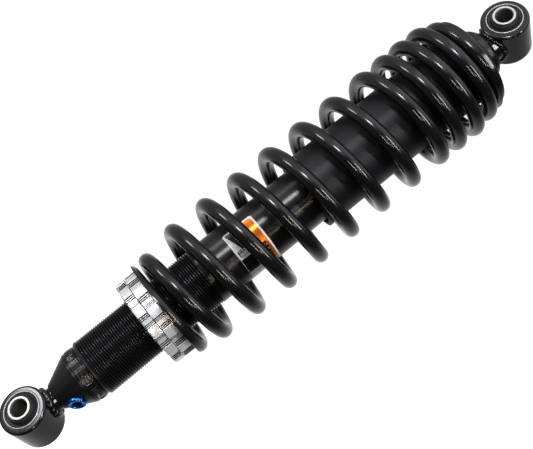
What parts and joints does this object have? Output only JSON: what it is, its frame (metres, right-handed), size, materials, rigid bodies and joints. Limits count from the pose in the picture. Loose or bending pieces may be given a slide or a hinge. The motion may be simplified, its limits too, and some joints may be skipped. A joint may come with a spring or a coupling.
{
  "type": "coil-over shock absorber",
  "caption": "Coil-over gas shock: threaded damper tube with slotted preload rings, progressive coil spring, dust sleeve and rubber-bushed eyes at both ends.",
  "frame": {"origin": "centre of the body-end eye bore", "axes": "+Z along the shock to the rod-end eye, +Y along both eye bores, +X to complete the right-handed set"},
  "size_m": [0.0744, 0.0744, 0.389],
  "materials": {
    "black_gloss_paint": "gloss",
    "bush_steel": "satin",
    "bush_rubber": "matt",
    "black_anodised": "satin",
    "seal_rubber": "matt",
    "blue_anodised": "satin",
    "label_film": "gloss",
    "machined_aluminium": "machined",
    "spring_paint": "gloss",
    "internal_aluminium": "machined",
    "band_plastic": "matt",
    "bush_bronze": "satin",
    "plain_steel": "satin",
    "chromed_rod": "polished",
    "bump_foam": "matt",
    "sleeve_plastic": "satin",
    "retainer_paint": "gloss"
  },
  "bodies": {
    "damper_body": {"damper_tube": "black_anodised", "end_cap": "black_anodised", "end_cap_oring": "seal_rubber", "body_eye": "black_gloss_paint", "body_eye_weld": "black_gloss_paint", "body_bush_shell": "bush_steel", "body_bush_rubber": "bush_rubber", "gas_plug": "blue_anodised", "gas_plug_oring": "seal_rubber", "body_label": "label_film", "seal_head": "internal_aluminium", "seal_head_oring": "seal_rubber", "rod_bush": "bush_bronze", "rod_seal": "seal_rubber", "wiper_seal": "seal_rubber", "circlip": "plain_steel"},
    "body_eye_sleeve": {"body_bush_sleeve": "bush_steel"},
    "floating_piston": {"floating_piston": "internal_aluminium", "floating_piston_oring": "seal_rubber", "floating_piston_band": "band_plastic"},
    "spring_carrier": {"main_spring": "spring_paint"},
    "preload_ring": {"preload_ring": "machined_aluminium"},
    "lock_ring": {"lock_ring": "machined_aluminium"},
    "upper_seat": {"spring_retainer": "retainer_paint", "dust_sleeve": "sleeve_plastic", "bump_stop": "bump_foam"},
    "rod_assembly": {"piston_rod": "chromed_rod", "piston": "internal_aluminium", "piston_band": "band_plastic", "compression_shims": "plain_steel", "rebound_shims": "plain_steel", "piston_washer": "plain_steel", "piston_nut": "plain_steel", "top_out_spacer": "plain_steel", "rod_eye": "black_gloss_paint", "rod_eye_weld": "black_gloss_paint", "rod_bush_shell": "bush_steel", "rod_bush_rubber": "bush_rubber"},
    "rod_eye_sleeve": {"rod_bush_sleeve": "bush_steel"}
  },
  "joints": [
    {"name": "damper_stroke", "type": "slide", "parent": "damper_body", "child": "upper_seat", "axis": [0, 0, -1], "range_m": [0, 0.085], "stiffness_N_per_m": 28000, "springref_m": -0.012, "deforming": ["main_spring"]},
    {"name": "rod_swivel", "type": "hinge", "parent": "upper_seat", "child": "rod_assembly", "pos_m": [0, 0, 0.3], "axis": [0, 0, 1], "continuous": true},
    {"name": "floating_piston_slide", "type": "slide", "parent": "damper_body", "child": "floating_piston", "axis": [0, 0, -1], "range_m": [0, 0.014]},
    {"name": "preload_ring_turn", "type": "hinge", "parent": "spring_carrier", "child": "preload_ring", "pos_m": [0, 0, 0.093], "axis": [0, 0, 1], "range_deg": [-961, 1921]},
    {"name": "lock_ring_turn", "type": "hinge", "parent": "spring_carrier", "child": "lock_ring", "pos_m": [0, 0, 0.086], "axis": [0, 0, 1], "range_deg": [-961, 1921]},
    {"name": "preload_travel", "type": "slide", "parent": "damper_body", "child": "spring_carrier", "axis": [0, 0, 1], "range_m": [-0.004, 0.008], "deforming": ["main_spring"]},
    {"name": "body_eye_twist", "type": "hinge", "parent": "damper_body", "child": "body_eye_sleeve", "pos_m": [0, 0, 0], "axis": [0, 1, 0], "range_deg": [-20, 20], "stiffness_Nm_per_rad": 6},
    {"name": "rod_eye_twist", "type": "hinge", "parent": "rod_assembly", "child": "rod_eye_sleeve", "pos_m": [0, 0, 0.36], "axis": [0, 1, 0], "range_deg": [-20, 20], "stiffness_Nm_per_rad": 6}
  ],
  "couplings": [
    {"joint": "floating_piston_slide", "follows": "damper_stroke", "ratio": 0.16},
    {"joint": "preload_ring_turn", "follows": "preload_travel", "rad_per_m": 4188.8},
    {"joint": "lock_ring_turn", "follows": "preload_travel", "rad_per_m": 4188.8}
  ]
}
